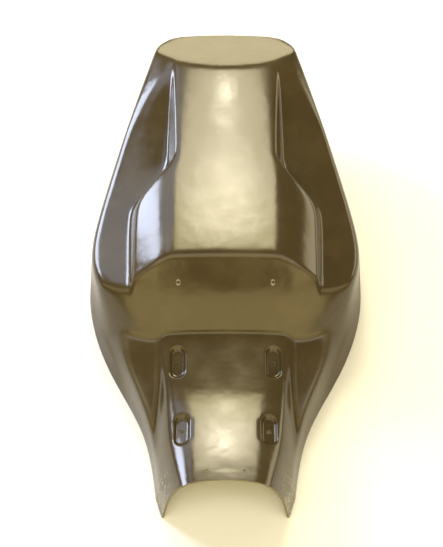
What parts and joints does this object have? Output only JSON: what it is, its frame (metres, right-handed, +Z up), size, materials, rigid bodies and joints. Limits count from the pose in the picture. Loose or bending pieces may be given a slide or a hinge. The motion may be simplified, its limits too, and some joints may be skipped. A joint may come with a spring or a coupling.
{
  "type": "race seat unit",
  "caption": "One-piece moulded seat unit for a racing motorbike: low saddle with bolt dimples, sloped back stop and a raised tail hump, open underneath and at the front.",
  "frame": {"origin": "middle of the unit's length and width, on the plane that its lower rim rests on", "axes": "+X to the rider's right, +Y rearwards from the front edge to the tail, +Z up"},
  "size_m": [0.3866, 0.687, 0.2039],
  "materials": {
    "gelcoat": "gloss"
  },
  "bodies": {
    "root": {"seat_shell": "gelcoat"}
  },
  "joints": []
}
